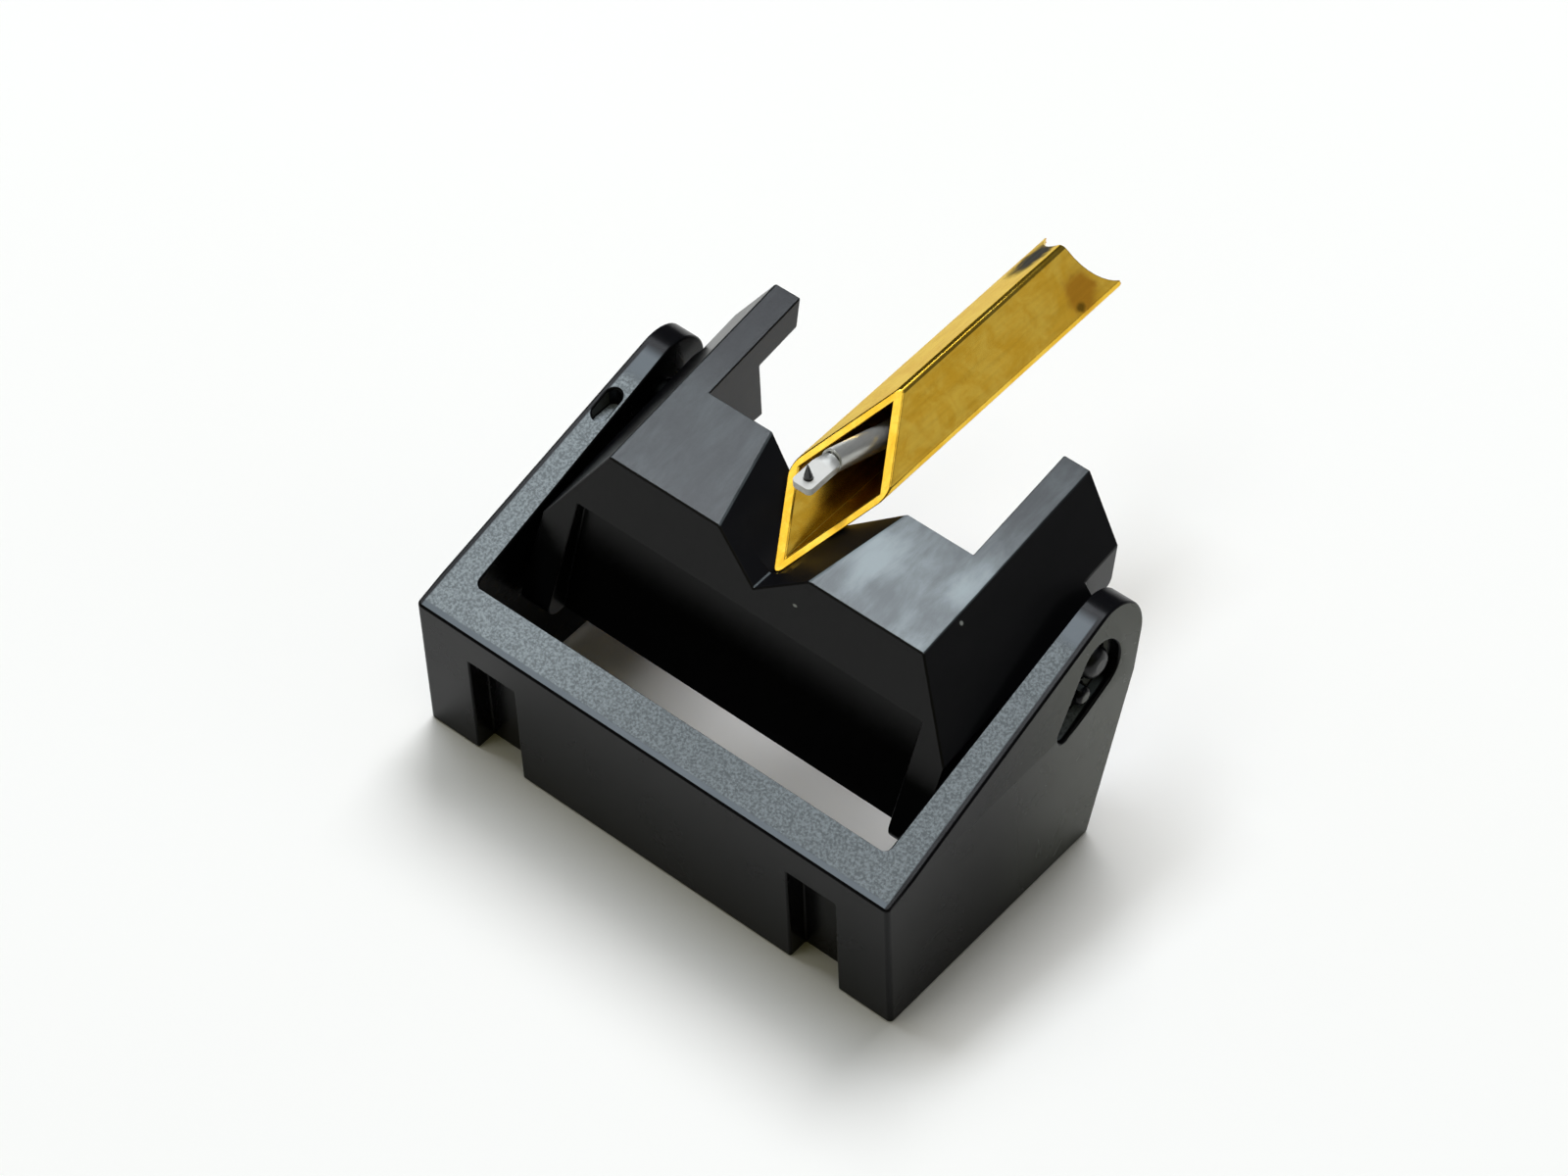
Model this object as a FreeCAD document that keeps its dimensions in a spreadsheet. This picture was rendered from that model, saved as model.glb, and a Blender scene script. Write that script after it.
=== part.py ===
import FreeCAD
import Part
import math
import os
import Sketcher

# Driving dimensions in millimetres and degrees.
# Y runs back from the front face of the guard, Z runs up from the surface it stands on.
SIZES = {
    # Flip guard
    "guard_width": 17.0,
    "guard_wall": 1.11,
    "guard_gap": 0.19,
    "bar_depth": 1.29,
    "bar_height": 4.93,
    "bar_corner": 0.15,
    "bar_inner_corner": 0.2,
    "guard_slope": 17.7,
    "ear_y": 9.8,
    "ear_radius": 1.2,
    "ear_lean": 20.8,
    "arm_lean": 6.0,
    "arm_lean_start": 0.3,
    # Channels in the front face of the guard
    "channel_place": 5.79,
    "channel_width": 1.68,
    "channel_depth": 0.65,
    "channel_height": 3.75,
    # Pivot and the teardrop recess around it
    "hinge_y": 9.15,
    "hinge_z": 6.4,
    "pivot_radius": 0.5,
    "pivot_play": 0.04,
    "pivot_reach": 1.16,
    "pivot_round": 0.3,
    "drop_radius": 0.8,
    "drop_tip_radius": 0.3,
    "drop_length": 2.05,
    "drop_angle": 34.0,
    "drop_depth": 0.5,
    "pip_radius": 0.3,
    "pip_place": 0.95,
    "pip_angle": 46.0,
    "pip_height": 0.38,
    "pip_round": 0.18,
    # Oval slot in the top of the left arm
    "slot_y": 7.36,
    "slot_length": 1.05,
    "slot_width": 0.52,
    "slot_inset": 0.17,
    "slot_depth": 0.45,
    # Grip
    "grip_floor": 3.4,
    "grip_front": 5.08,
    "grip_top": 8.61,
    "front_slope": 26.1,
    "roof_slope": 9.1,
    "roof_width": 11.14,
    "side_slope": 36.3,
    "rail_gap": 9.34,
    "rail_end": 12.15,
    "rail_height": 1.72,
    "rail_lip": 0.95,
    "rail_width": 13.7,
    "skirt_height": 1.4,
    "rail_lean": 11.5,
    "rail_round": 0.4,
    "wall_end": 10.35,
    "block_rear": 8.28,
    "block_lean": 33.0,
    "toe_round": 0.4,
    "lip_height": 6.96,
    "lip_step": 0.35,
    "recess_width": 12.3,
    "recess_slope": 19.1,
    "nose_wall": 1.2,
    "nose_front": 5.7,
    "nose_top": 6.5,
    "groove_floor": 7.62,
    "groove_angle": 58.0,
    # Square shank tube, standing on its edge
    "shank_side": 2.05,
    "shank_round": 0.2,
    "shank_wall": 0.2,
    "shank_height": 8.83,
    "shank_end": 18.85,
    "seat_play": 0.01,
    "mouth_y": 8.22,
    "mouth_rake": 1.96,
    "mouth_skew": 0.27,
    "notch_radius": 1.42,
    "notch_depth": 0.9,
    # Cantilever with its pressed-flat tongue
    "beam_radius": 0.35,
    "beam_wall": 0.08,
    "beam_slope": 21.0,
    "beam_rear": 13.4,
    "beam_bend": 10.6,
    "bend_radius": 2.0,
    "beam_front": 7.95,
    "neck_radius": 0.31,
    "neck_overlap": 0.25,
    "tongue_front": 6.65,
    "tongue_rear": 7.55,
    "tongue_width": 0.68,
    "tongue_thick": 0.25,
    "tongue_top": 10.0,
    "tongue_round": 0.16,
    # Diamond tip
    "tip_y": 7.0,
    "tip_radius": 0.125,
    "tip_collar": 0.1,
    "tip_height": 0.5,
    "tip_point": 0.02,
    "tip_play": 0.01,
    # Pieces inside the tube
    "bearing_y": 11.6,
    "bearing_length": 1.0,
    "bearing_play": 0.05,
    "bearing_bore_play": 0.04,
    "magnet_y": 13.0,
    "magnet_length": 2.6,
    "magnet_radius": 0.45,
    "magnet_socket": 0.42,
    "magnet_play": 0.01,
    "wire_radius": 0.06,
    "wire_gap": 0.02,
    "wire_length": 1.58,
    "wire_play": 0.01,
    "plug_y": 16.2,
    "plug_length": 1.4,
    "plug_play": 0.01,
}

# Slack for cutting tools that have to run clear past the material.
BEYOND = 2.0

GRIP_HALF = "(Size.guard_width / 2 - Size.guard_wall - Size.guard_gap)"
BORE_SIDE = "(Size.shank_side - 2 * Size.shank_wall)"
HALF_DIAGONAL = 1 / math.sqrt(2)
# The round ear at the end of each arm meets the sloping top without a step.
EAR_Z = "(Size.bar_height + Size.ear_y * tan(Size.guard_slope) - Size.ear_radius / cos(Size.guard_slope))"


def make_sheet(doc):
    sheet = doc.addObject("Spreadsheet::Sheet", "Size")
    for row, (name, value) in enumerate(SIZES.items(), 1):
        sheet.set(f"A{row}", name)
        sheet.set(f"B{row}", str(value))
        sheet.setAlias(f"B{row}", name)
    doc.recompute()


def new_body(doc, label, height="0"):
    """A body whose origin is moved so that the whole part is centred along Y."""
    body = doc.addObject("PartDesign::Body", label)
    body.Label = label
    body.setExpression("Placement.Base.y", "-Size.shank_end / 2")
    body.setExpression("Placement.Base.z", height)
    return body


def new_sketch(body, name, role, offset="0"):
    """A sketch on one of the body's own origin planes, moved along the plane's normal."""
    sketch = body.newObject("Sketcher::SketchObject", name)
    plane = next(item for item in body.Origin.OriginFeatures if item.Role == role)
    sketch.AttachmentSupport = [(plane, "")]
    sketch.MapMode = "FlatFace"
    sketch.setExpression("AttachmentOffset.Base.z", offset)
    return sketch


def bind(sketch, kind, element, point, expression):
    if point is None:
        constraint = Sketcher.Constraint(kind, element, 1.0)
    else:
        constraint = Sketcher.Constraint(kind, -1, 1, element, point, 1.0)
    index = sketch.addConstraint(constraint)
    sketch.setExpression(f"Constraints[{index}]", expression)


def bind_point(sketch, element, point, place):
    bind(sketch, "DistanceX", element, point, place[0])
    bind(sketch, "DistanceY", element, point, place[1])


def on_circle(angle):
    return FreeCAD.Vector(math.cos(angle), math.sin(angle), 0)


def outline(sketch, corners):
    """A closed straight-sided outline with every corner bound to the sheet."""
    count = len(corners)
    first = sketch.GeometryCount
    turn = 2 * math.pi / count
    for index in range(count):
        sketch.addGeometry(Part.LineSegment(on_circle(index * turn), on_circle((index + 1) * turn)))
    for index in range(count):
        following = first + (index + 1) % count
        sketch.addConstraint(Sketcher.Constraint("Coincident", first + index, 2, following, 1))
    for index, corner in enumerate(corners):
        bind_point(sketch, first + index, 1, corner)


def circle(sketch, center, radius):
    ring = Part.Circle(FreeCAD.Vector(), FreeCAD.Vector(0, 0, 1), 1.0)
    element = sketch.addGeometry(ring)
    bind_point(sketch, element, 3, center)
    bind(sketch, "Radius", element, None, radius)


def two_circle_hull(sketch, wide, narrow, guess):
    """Two arcs joined by their outer tangents; each end is (center, radius)."""
    (ax, ay, ar), (bx, by, br) = guess
    heading = math.atan2(by - ay, bx - ax)
    spread = math.acos((ar - br) / math.hypot(bx - ax, by - ay))
    flat = FreeCAD.Vector(0, 0, 1)
    a_ring = Part.Circle(FreeCAD.Vector(ax, ay, 0), flat, ar)
    b_ring = Part.Circle(FreeCAD.Vector(bx, by, 0), flat, br)
    a_arc = Part.ArcOfCircle(a_ring, heading + spread, heading - spread + 2 * math.pi)
    b_arc = Part.ArcOfCircle(b_ring, heading - spread, heading + spread)
    a_id = sketch.addGeometry(a_arc)
    b_id = sketch.addGeometry(b_arc)
    up_id = sketch.addGeometry(Part.LineSegment(b_arc.EndPoint, a_arc.StartPoint))
    low_id = sketch.addGeometry(Part.LineSegment(a_arc.EndPoint, b_arc.StartPoint))
    for joint in ((b_id, 2, up_id, 1), (up_id, 2, a_id, 1), (a_id, 2, low_id, 1), (low_id, 2, b_id, 1)):
        sketch.addConstraint(Sketcher.Constraint("Tangent", *joint))
    for element, (center, radius) in ((a_id, wide), (b_id, narrow)):
        bind_point(sketch, element, 3, center)
        bind(sketch, "Radius", element, None, radius)


def extrude(kind, sketch, length, both=False, back=False, along=None):
    """Pad or pocket a sketch; both means half each way, along gives a slanted direction."""
    body = sketch.getParentGeoFeatureGroup()
    feature = body.newObject(f"PartDesign::{kind}", f"{sketch.Name}_{kind.lower()}")
    feature.Profile = sketch
    feature.setExpression("Length", length)
    feature.Midplane = both
    feature.Reversed = back
    if along:
        feature.UseCustomVector = True
        feature.Direction = (1, 1, 1)
        for axis, expression in zip("xyz", along):
            feature.setExpression(f"Direction.{axis}", expression)
    body.Document.recompute()
    return feature


def round_edges(body, name, radius, chosen):
    """Fillet the edges of the body's tip whose middle point passes the test."""
    base = body.Tip
    names = []
    for index, edge in enumerate(base.Shape.Edges, 1):
        middle = edge.valueAt((edge.FirstParameter + edge.LastParameter) / 2)
        if chosen(edge, middle):
            names.append(f"Edge{index}")
    fillet = body.newObject("PartDesign::Fillet", name)
    fillet.Base = (base, names)
    fillet.setExpression("Radius", radius)
    body.Document.recompute()


def near(value, target):
    return abs(value - target) < 1e-4


def diamond(sketch, side):
    """A square outline standing on its corner about the sketch origin."""
    reach = f"{side} * {HALF_DIAGONAL}"
    outline(sketch, [("0", f"-({reach})"), (reach, "0"), ("0", reach), (f"-({reach})", "0")])


def make_guard(doc):
    body = new_body(doc, "stylus_guard")
    guard_outline(body)
    guard_lean(body)
    guard_inside(body)
    guard_channels(body)
    for side in (1, -1):
        guard_pivot(body, side)
    guard_slot(body)
    guard_corners(body)
    return body


def guard_outline(body):
    """Side view of the guard: straight foot, leaning rear edge, round ear, sloping top."""
    rear_y = "(Size.ear_y + Size.ear_radius * cos(Size.ear_lean))"
    rear_z = f"({EAR_Z} - Size.ear_radius * sin(Size.ear_lean))"
    sketch = new_sketch(body, "guard_side", "YZ_Plane")
    outline(sketch, [
        ("0", "0"),
        (f"{rear_y} - {rear_z} * tan(Size.ear_lean)", "0"),
        (rear_y, rear_z),
        ("Size.ear_y - Size.ear_radius * sin(Size.guard_slope)",
         f"{EAR_Z} + Size.ear_radius * cos(Size.guard_slope)"),
        ("0", "Size.bar_height"),
    ])
    extrude("Pad", sketch, "Size.guard_width", both=True)
    ear = new_sketch(body, "guard_ear", "YZ_Plane")
    circle(ear, ("Size.ear_y", EAR_Z), "Size.ear_radius")
    extrude("Pad", ear, "Size.guard_width", both=True)


def guard_lean(body):
    """Lean the outer faces of the arms inwards, from a little above the bar."""
    half = "Size.guard_width / 2"
    start = "Size.bar_height + Size.arm_lean_start"
    rise = "Size.bar_height"
    sketch = new_sketch(body, "guard_lean", "XZ_Plane")
    for sign in ("", "-"):
        outline(sketch, [
            (f"{sign}({half})", start),
            (f"{sign}({half} + {BEYOND})", start),
            (f"{sign}({half} + {BEYOND})", f"{start} + {rise}"),
            (f"{sign}({half} - {rise} * tan(Size.arm_lean))", f"{start} + {rise}"),
        ])
    extrude("Pocket", sketch, "4 * Size.ear_y", both=True)


def guard_inside(body):
    """Open the space between the arms, behind the bar."""
    half = "Size.guard_width / 2 - Size.guard_wall"
    rear = f"Size.ear_y + Size.ear_radius + {BEYOND}"
    sketch = new_sketch(body, "guard_inside", "XY_Plane")
    outline(sketch, [
        (f"-({half})", "Size.bar_depth"),
        (half, "Size.bar_depth"),
        (half, rear),
        (f"-({half})", rear),
    ])
    extrude("Pocket", sketch, f"4 * {EAR_Z}", both=True)


def guard_channels(body):
    """Two shallow upright channels in the front face, open at the bottom."""
    near_edge = "Size.channel_place - Size.channel_width / 2"
    far_edge = "Size.channel_place + Size.channel_width / 2"
    sketch = new_sketch(body, "guard_channel", "XY_Plane")
    for sign in ("", "-"):
        outline(sketch, [
            (f"{sign}({near_edge})", f"-{BEYOND}"),
            (f"{sign}({far_edge})", f"-{BEYOND}"),
            (f"{sign}({far_edge})", "Size.channel_depth"),
            (f"{sign}({near_edge})", "Size.channel_depth"),
        ])
    extrude("Pocket", sketch, "Size.channel_height", back=True)


def guard_pivot(body, side):
    """Teardrop recess in an arm's outer face, with the pivot hole and a pip in its floor."""
    word = "right" if side > 0 else "left"
    hinge = ("Size.hinge_y", "Size.hinge_z")
    tip = ("Size.hinge_y - Size.drop_length * cos(Size.drop_angle)",
           "Size.hinge_z - Size.drop_length * sin(Size.drop_angle)")
    angle = math.radians(SIZES["drop_angle"])
    guess = (
        (SIZES["hinge_y"], SIZES["hinge_z"], SIZES["drop_radius"]),
        (SIZES["hinge_y"] - SIZES["drop_length"] * math.cos(angle),
         SIZES["hinge_z"] - SIZES["drop_length"] * math.sin(angle), SIZES["drop_tip_radius"]),
    )
    inward = side < 0
    drop = new_sketch(body, f"drop_{word}", "YZ_Plane", f"{side} * Size.guard_width / 2")
    two_circle_hull(drop, (hinge, "Size.drop_radius"), (tip, "Size.drop_tip_radius"), guess)
    extrude("Pocket", drop, "Size.drop_depth", back=inward)
    hole = new_sketch(body, f"hole_{word}", "YZ_Plane", f"{side} * Size.guard_width / 2")
    circle(hole, hinge, "Size.pivot_radius + Size.pivot_play")
    extrude("Pocket", hole, "Size.guard_wall + Size.guard_gap", back=inward)
    floor = f"{side} * (Size.guard_width / 2 - Size.drop_depth)"
    pip = new_sketch(body, f"pip_{word}", "YZ_Plane", floor)
    circle(pip, ("Size.hinge_y - Size.pip_place * cos(Size.pip_angle)",
                 "Size.hinge_z - Size.pip_place * sin(Size.pip_angle)"), "Size.pip_radius")
    extrude("Pad", pip, "Size.pip_height", back=inward)


def guard_slot(body):
    """Oval slot in the sloping top of the left arm."""
    middle = "-(Size.guard_width / 2 - Size.guard_wall + Size.slot_inset + Size.slot_width / 2)"
    half_run = "(Size.slot_length - Size.slot_width) / 2"
    radius = "Size.slot_width / 2"
    floor = "Size.bar_height + Size.slot_y * tan(Size.guard_slope) - Size.slot_depth"
    radius_guess = SIZES["slot_width"] / 2
    middle_guess = -(SIZES["guard_width"] / 2 - SIZES["guard_wall"] + SIZES["slot_inset"] + radius_guess)
    run_guess = (SIZES["slot_length"] - SIZES["slot_width"]) / 2
    guess = (
        (middle_guess, SIZES["slot_y"] - run_guess, radius_guess),
        (middle_guess, SIZES["slot_y"] + run_guess, radius_guess),
    )
    sketch = new_sketch(body, "arm_slot", "XY_Plane", floor)
    front_end = ((middle, f"Size.slot_y - {half_run}"), radius)
    rear_end = ((middle, f"Size.slot_y + {half_run}"), radius)
    two_circle_hull(sketch, front_end, rear_end, guess)
    extrude("Pocket", sketch, f"Size.slot_depth + {BEYOND}", back=True)


def guard_corners(body):
    """Soften the upright corners of the bar and the ends of the pips."""
    half = SIZES["guard_width"] / 2
    inner = half - SIZES["guard_wall"]
    pip_end = half - SIZES["drop_depth"] + SIZES["pip_height"]

    def front_corner(edge, middle):
        return near(abs(middle.x), half) and near(middle.y, 0) and edge.Length > SIZES["bar_height"] / 2

    def inner_corner(edge, middle):
        return near(abs(middle.x), inner) and near(middle.y, SIZES["bar_depth"]) and middle.z > 0

    def pip_edge(edge, middle):
        return near(abs(middle.x), pip_end) and len(edge.Vertexes) == 1

    round_edges(body, "guard_corners", "Size.bar_corner", front_corner)
    round_edges(body, "guard_inner_corners", "Size.bar_inner_corner", inner_corner)
    round_edges(body, "pip_ends", "Size.pip_round", pip_edge)


def roof_at(place):
    """Height of the grip's sloping roof at a place along Y."""
    return f"(Size.grip_top + ({place} - Size.grip_front) * tan(Size.roof_slope))"


def make_grip(doc):
    body = new_body(doc, "stylus_grip")
    grip_outline(body)
    grip_sides(body)
    grip_rail_gap(body)
    grip_nose_space(body)
    grip_rail_underside(body)
    grip_groove(body)
    grip_recess(body)
    grip_corners(body)
    for side in (1, -1):
        grip_pivot(body, side)
    grip_pivot_ends(body)
    return body


def grip_outline(body):
    """Side view of the grip: leaning front, rising roof, rear rails above a shorter wall."""
    toe = "Size.grip_front - (Size.grip_top - Size.grip_floor) * tan(Size.front_slope)"
    depth = "(Size.rail_height + Size.skirt_height)"
    sketch = new_sketch(body, "grip_side", "YZ_Plane")
    outline(sketch, [
        (toe, "Size.grip_floor"),
        ("Size.wall_end", "Size.grip_floor"),
        ("Size.wall_end", f"{roof_at('Size.wall_end')} - {depth}"),
        (f"Size.rail_end - {depth} * tan(Size.rail_lean)", f"{roof_at('Size.rail_end')} - {depth}"),
        ("Size.rail_end", roof_at("Size.rail_end")),
        ("Size.grip_front", "Size.grip_top"),
    ])
    extrude("Pad", sketch, f"2 * {GRIP_HALF}", both=True)


def grip_sides(body):
    """Slanted side facets that follow the rise of the roof."""
    roof = roof_at("0")
    drop = "2 * Size.rail_height"
    sketch = new_sketch(body, "grip_facets", "XZ_Plane")
    outer = f"Size.guard_width / 2 + {BEYOND}"
    upper = f"Size.roof_width / 2 - {BEYOND} * tan(Size.side_slope)"
    lower = f"Size.roof_width / 2 + {drop} * tan(Size.side_slope)"
    for sign in ("", "-"):
        outline(sketch, [
            (f"{sign}({upper})", f"{roof} + {BEYOND}"),
            (f"{sign}({lower})", f"{roof} - {drop}"),
            (f"{sign}({outer})", f"{roof} - {drop}"),
            (f"{sign}({outer})", f"{roof} + {BEYOND}"),
        ])
    slant = ("0", "1", "tan(Size.roof_slope)")
    extrude("Pocket", sketch, "4 * Size.rail_end", both=True, along=slant)


def grip_rail_gap(body):
    """Open the space between the rails, behind the leaning rear face of the block."""
    roof = roof_at("Size.block_rear")
    low = "(Size.nose_top - Size.nose_wall)"
    rear = f"Size.rail_end + {BEYOND}"
    sketch = new_sketch(body, "rail_gap", "YZ_Plane")
    outline(sketch, [
        (f"Size.block_rear - ({roof} - {low}) * tan(Size.block_lean)", low),
        (rear, low),
        (rear, f"{roof} + {BEYOND}"),
        (f"Size.block_rear + {BEYOND} * tan(Size.block_lean)", f"{roof} + {BEYOND}"),
    ])
    extrude("Pocket", sketch, "Size.rail_gap", both=True)


def grip_nose_space(body):
    """Hollow underneath for the nose of the cartridge."""
    rear = f"Size.rail_end + {BEYOND}"
    below = f"Size.grip_floor - {BEYOND}"
    sketch = new_sketch(body, "nose_space", "YZ_Plane")
    outline(sketch, [
        ("Size.nose_front", below),
        (rear, below),
        (rear, "Size.nose_top"),
        ("Size.nose_front", "Size.nose_top"),
    ])
    extrude("Pocket", sketch, f"2 * ({GRIP_HALF} - Size.nose_wall)", both=True)


def grip_rail_underside(body):
    """Slanted underside of the rails behind the side walls, and the narrower skirts below their facets."""
    roof = roof_at("Size.wall_end")
    top = f"{roof} - Size.rail_lip"
    inner = "Size.rail_gap / 2"
    outer = "Size.rail_width / 2"
    drop = "(Size.rail_height + Size.skirt_height)"
    sketch = new_sketch(body, "rail_underside", "XZ_Plane", "-Size.wall_end")
    for sign in ("", "-"):
        outline(sketch, [
            (f"{sign}({inner})", top),
            (f"{sign}({inner} + {drop} * tan(Size.side_slope))", f"{top} - {drop}"),
            (f"{sign}({inner} - {BEYOND})", f"{top} - {drop}"),
            (f"{sign}({inner} - {BEYOND})", top),
        ])
    slant = ("0", "1", "tan(Size.roof_slope)")
    run = f"Size.rail_end - Size.wall_end + {BEYOND}"
    extrude("Pocket", sketch, run, along=slant)
    skirt = new_sketch(body, "rail_skirt", "XZ_Plane", "-Size.wall_end")
    for sign in ("", "-"):
        outline(skirt, [
            (f"{sign}({outer})", "Size.grip_floor"),
            (f"{sign}({outer} + {BEYOND})", "Size.grip_floor"),
            (f"{sign}({outer} + {BEYOND})", roof),
            (f"{sign}({outer})", roof),
        ])
    extrude("Pocket", skirt, run)


def grip_groove(body):
    """V-groove across the block, and the seat of the tube at the bottom of it."""
    rise = "Size.rail_end"
    sketch = new_sketch(body, "grip_groove", "XZ_Plane")
    outline(sketch, [
        ("0", "Size.groove_floor"),
        (f"{rise} * tan(Size.groove_angle)", f"Size.groove_floor + {rise}"),
        (f"-({rise} * tan(Size.groove_angle))", f"Size.groove_floor + {rise}"),
    ])
    extrude("Pocket", sketch, "4 * Size.rail_end", both=True)
    reach = f"((Size.shank_side + 2 * Size.seat_play) * {HALF_DIAGONAL})"
    start = f"-(Size.mouth_y - Size.mouth_rake * {reach})"
    seat = new_sketch(body, "tube_seat", "XZ_Plane", start)
    outline(seat, [
        ("0", f"Size.shank_height - {reach}"),
        (reach, "Size.shank_height"),
        ("0", f"Size.shank_height + {reach}"),
        (f"-({reach})", "Size.shank_height"),
    ])
    extrude("Pocket", seat, "2 * Size.rail_end")


def grip_recess(body):
    """Finger recess in the front, under the lip and between the cheeks."""
    lip_y = "Size.grip_front - (Size.grip_top - Size.lip_height) * tan(Size.front_slope)"
    back = f"({lip_y} + Size.lip_step)"
    low = f"(Size.grip_floor - {BEYOND})"
    sketch = new_sketch(body, "finger_recess", "YZ_Plane")
    outline(sketch, [
        (f"-{BEYOND}", low),
        (f"{back} - (Size.lip_height - {low}) * tan(Size.recess_slope)", low),
        (back, "Size.lip_height"),
        (f"-{BEYOND}", "Size.lip_height"),
    ])
    extrude("Pocket", sketch, "Size.recess_width", both=True)


def grip_corners(body):
    """Round the lower rear corner of each rail and the toe of each cheek."""
    slope = math.tan(math.radians(SIZES["front_slope"]))
    toe = SIZES["grip_front"] - (SIZES["grip_top"] - SIZES["grip_floor"]) * slope
    lean = math.tan(math.radians(SIZES["rail_lean"]))
    skirt_end = SIZES["rail_end"] - (SIZES["rail_height"] + SIZES["skirt_height"]) * lean

    def rail_corner(edge, middle):
        return near(middle.y, skirt_end) and near(edge.tangentAt(0).z, 0)

    def cheek_toe(edge, middle):
        return near(middle.y, toe) and near(middle.z, SIZES["grip_floor"])

    round_edges(body, "rail_corners", "Size.rail_round", rail_corner)
    round_edges(body, "cheek_toes", "Size.toe_round", cheek_toe)


def grip_pivot(body, side):
    """Pivot boss that the guard turns on."""
    word = "right" if side > 0 else "left"
    root = f"{side} * ({GRIP_HALF} - Size.nose_wall / 2)"
    sketch = new_sketch(body, f"pivot_{word}", "YZ_Plane", root)
    circle(sketch, ("Size.hinge_y", "Size.hinge_z"), "Size.pivot_radius")
    extrude("Pad", sketch, "Size.nose_wall / 2 + Size.pivot_reach", back=side < 0)


def grip_pivot_ends(body):
    half = SIZES["guard_width"] / 2 - SIZES["guard_wall"] - SIZES["guard_gap"]
    end = half + SIZES["pivot_reach"]

    def boss_end(edge, middle):
        return near(abs(middle.x), end) and len(edge.Vertexes) == 1

    round_edges(body, "pivot_ends", "Size.pivot_round", boss_end)


def make_shank(doc):
    """Square tube with a raked mouth in front and a round notch across its rear end."""
    body = new_body(doc, "shank_tube", "Size.shank_height")
    tube = new_sketch(body, "tube_outside", "XZ_Plane")
    diamond(tube, "Size.shank_side")
    extrude("Pad", tube, "Size.shank_end", back=True)

    def long_edge(edge, middle):
        return near(edge.Length, SIZES["shank_end"])

    round_edges(body, "tube_edges", "Size.shank_round", long_edge)
    bore = new_sketch(body, "tube_bore", "XZ_Plane")
    diamond(bore, BORE_SIDE)
    extrude("Pocket", bore, "4 * Size.shank_end", both=True)
    mouth = new_sketch(body, "tube_mouth", "YZ_Plane")
    outline(mouth, [
        (f"Size.mouth_y - Size.mouth_rake * {BEYOND}", f"-{BEYOND}"),
        (f"Size.mouth_y + Size.mouth_rake * {BEYOND}", f"{BEYOND}"),
        (f"-{BEYOND}", f"{BEYOND}"),
        (f"-{BEYOND}", f"-{BEYOND}"),
    ])
    extrude("Pocket", mouth, "4 * Size.shank_side", both=True, along=("1", "Size.mouth_skew", "0"))
    notch = new_sketch(body, "tube_notch", "XY_Plane")
    circle(notch, ("0", "Size.shank_end - Size.notch_depth + Size.notch_radius"), "Size.notch_radius")
    extrude("Pocket", notch, "4 * Size.shank_side", both=True)
    return body


def make_cantilever(doc):
    """Thin tube that runs back along the shank, bent up in front, with a flat tongue."""
    body = new_body(doc, "cantilever", "Size.shank_height")
    path = beam_path(body)
    ring = new_sketch(body, "beam_ring", "XZ_Plane", "-Size.beam_rear")
    circle(ring, ("0", "0"), "Size.beam_radius")
    circle(ring, ("0", "0"), "Size.beam_radius - Size.beam_wall")
    doc.recompute()
    pipe = body.newObject("PartDesign::AdditivePipe", "beam_pipe")
    pipe.Profile = ring
    pipe.Spine = path
    doc.recompute()
    cantilever_neck(body)
    cantilever_tongue(body)
    return body


def beam_path(body):
    """Centre line of the cantilever: along the tube, round the bend, up to the front."""
    bend_end = ("Size.beam_bend + Size.bend_radius * tan(Size.beam_slope / 2)", "0")
    front = ("Size.beam_front", "(Size.beam_bend - Size.beam_front) * tan(Size.beam_slope)")
    slope = math.radians(SIZES["beam_slope"])
    radius = SIZES["bend_radius"]
    middle = FreeCAD.Vector(SIZES["beam_bend"] + radius * math.tan(slope / 2), radius, 0)
    ring = Part.Circle(middle, FreeCAD.Vector(0, 0, 1), radius)
    bend = Part.ArcOfCircle(ring, -math.pi / 2 - slope, -math.pi / 2)
    sketch = new_sketch(body, "beam_path", "YZ_Plane")
    rear_id = sketch.addGeometry(Part.LineSegment(FreeCAD.Vector(SIZES["beam_rear"], 0, 0), bend.EndPoint))
    bend_id = sketch.addGeometry(bend)
    rise = (SIZES["beam_bend"] - SIZES["beam_front"]) * math.tan(slope)
    front_point = FreeCAD.Vector(SIZES["beam_front"], rise, 0)
    rise_id = sketch.addGeometry(Part.LineSegment(bend.StartPoint, front_point))
    sketch.addConstraint(Sketcher.Constraint("Tangent", rear_id, 2, bend_id, 2))
    sketch.addConstraint(Sketcher.Constraint("Tangent", bend_id, 1, rise_id, 1))
    bind_point(sketch, rear_id, 1, ("Size.beam_rear", "0"))
    bind_point(sketch, rear_id, 2, bend_end)
    bind_point(sketch, rise_id, 2, front)
    bind(sketch, "Radius", bend_id, None, "Size.bend_radius")
    return sketch


def cantilever_neck(body):
    """Blend from the round tube to the flat tongue, starting inside the tube's end."""
    start = "(Size.beam_front + Size.neck_overlap)"
    start_z = f"(Size.beam_bend - {start}) * tan(Size.beam_slope)"
    round_end = new_sketch(body, "neck_round", "XZ_Plane", f"-{start}")
    circle(round_end, ("0", start_z), "Size.neck_radius")
    flat_end = new_sketch(body, "neck_flat", "XZ_Plane", "-Size.tongue_rear")
    tongue_section(flat_end)
    body.Document.recompute()
    neck = body.newObject("PartDesign::AdditiveLoft", "neck")
    neck.Profile = round_end
    neck.Sections = [flat_end]
    body.Document.recompute()


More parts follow.
